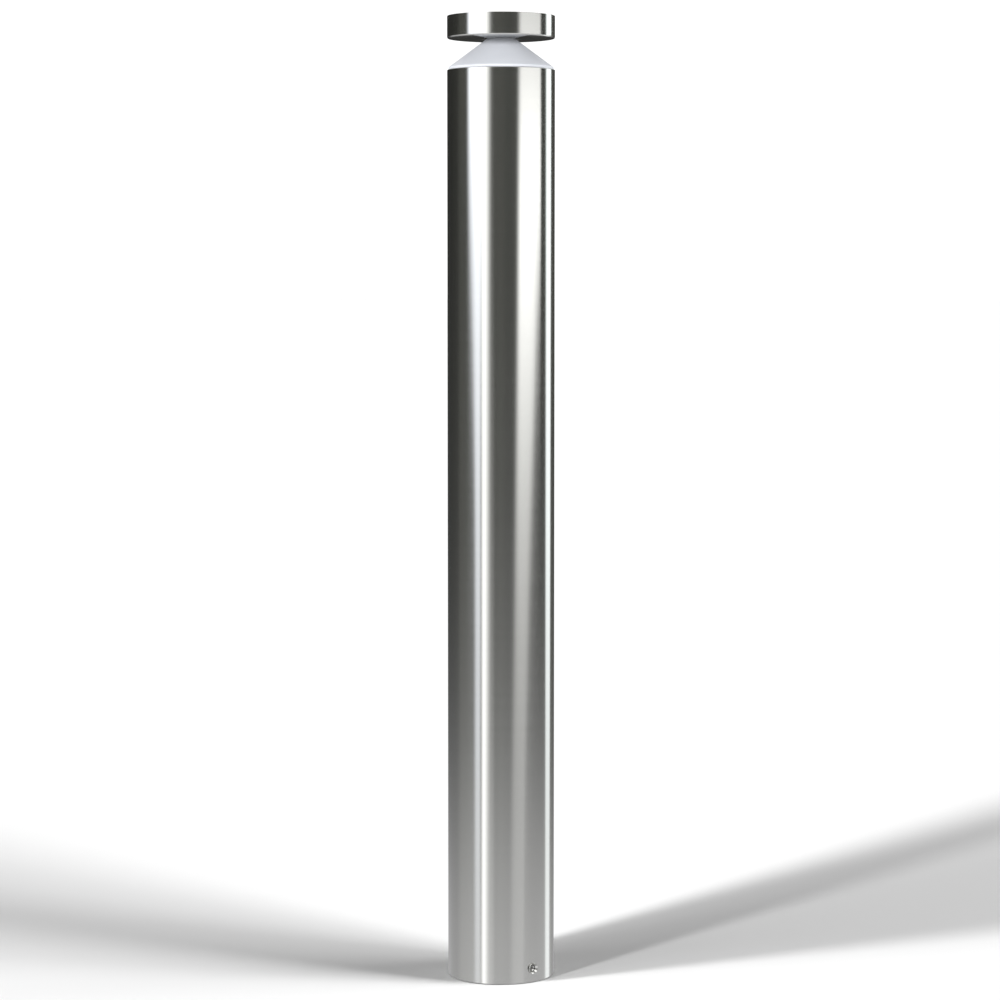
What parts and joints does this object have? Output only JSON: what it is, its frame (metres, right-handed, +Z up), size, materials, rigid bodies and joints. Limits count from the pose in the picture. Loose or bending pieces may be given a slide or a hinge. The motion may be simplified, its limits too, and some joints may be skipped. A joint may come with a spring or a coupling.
{
  "type": "bollard light",
  "caption": "Tall round bollard light: brushed steel column on a cast base, opal cone diffuser under a floating steel cap, clamped by set screws.",
  "frame": {"origin": "on the ground, at the centre of the base gasket's underside", "axes": "+Z up along the column, -Y is the front, with the first clamp screw 36.1 degrees from it towards +X"},
  "size_m": [0.0888, 0.0888, 0.8],
  "materials": {
    "brushed_stainless": "stainless steel brushed round the axis, satin",
    "polished_stainless": "stainless steel, polished",
    "zinc_steel": "zinc plated steel, dull",
    "cast_aluminium": "die cast, bead blasted",
    "brass": "plain turned brass",
    "opal_diffuser": "opal polycarbonate, matt, faint cool tint",
    "grey_plastic": "moulded, fine texture",
    "white_plastic": "moulded, satin",
    "black_rubber": "EPDM, matt",
    "silicone": "translucent grey silicone, matt",
    "white_board": "white solder mask on an aluminium board",
    "cable_sheath": "rubber cable sheath, matt",
    "white_wire": "silicone insulated wire",
    "earth_wire": "green and yellow insulation"
  },
  "bodies": {
    "base": {"base_gasket": "black_rubber", "base_flange": "cast_aluminium", "cable_grommet": "black_rubber"},
    "column": {"column_tube": "brushed_stainless", "rivet_nut_1": "brushed_stainless", "rivet_nut_2": "brushed_stainless", "cap_shell": "brushed_stainless", "cap_underplate": "polished_stainless", "support_ring": "zinc_steel", "carrier_screw_1": "zinc_steel", "carrier_screw_2": "zinc_steel", "carrier_screw_3": "zinc_steel", "driver_bracket": "zinc_steel", "bracket_screw_1": "zinc_steel", "bracket_screw_2": "zinc_steel", "driver_screw_1": "zinc_steel", "driver_screw_2": "zinc_steel", "board_screw_1": "zinc_steel", "board_screw_2": "zinc_steel", "centre_stud": "zinc_steel", "stud_nut": "zinc_steel", "cap_hub": "zinc_steel", "lid_screw_1": "zinc_steel", "lid_screw_2": "zinc_steel", "lid_screw_3": "zinc_steel", "lid_screw_4": "zinc_steel", "box_clip": "zinc_steel", "head_carrier": "cast_aluminium", "earth_screw": "brass", "terminal_screw_1": "brass", "terminal_screw_2": "brass", "terminal_screw_3": "brass", "terminal_screw_4": "brass", "terminal_screw_5": "brass", "terminal_screw_6": "brass", "diffuser": "opal_diffuser", "junction_box": "grey_plastic", "box_lid": "grey_plastic", "supply_gland_body": "grey_plastic", "supply_gland_nut": "grey_plastic", "outlet_gland_body": "grey_plastic", "outlet_gland_nut": "grey_plastic", "driver_case": "white_plastic", "terminal_block": "white_plastic", "carrier_seal": "black_rubber", "lid_gasket": "black_rubber", "supply_gland_seal": "black_rubber", "outlet_gland_seal": "black_rubber", "thermal_pad": "silicone", "diffuser_seal": "silicone", "neck_seal": "silicone", "led_board": "white_board", "internal_cable": "cable_sheath", "led_lead": "white_wire", "earth_lead": "earth_wire"},
    "clamp_screw_1": {"clamp_screw_1": "polished_stainless"},
    "clamp_screw_2": {"clamp_screw_2": "polished_stainless"}
  },
  "joints": [
    {"name": "column_lift", "type": "slide", "parent": "base", "child": "column", "axis": [0, 0, 1], "range_m": [0, 0.04]},
    {"name": "clamp_screw_1_out", "type": "slide", "parent": "column", "child": "clamp_screw_1", "axis": [0.5892, -0.808, 0], "range_m": [0, 0.004]},
    {"name": "clamp_screw_2_out", "type": "slide", "parent": "column", "child": "clamp_screw_2", "axis": [-0.5892, 0.808, 0], "range_m": [0, 0.004]}
  ]
}
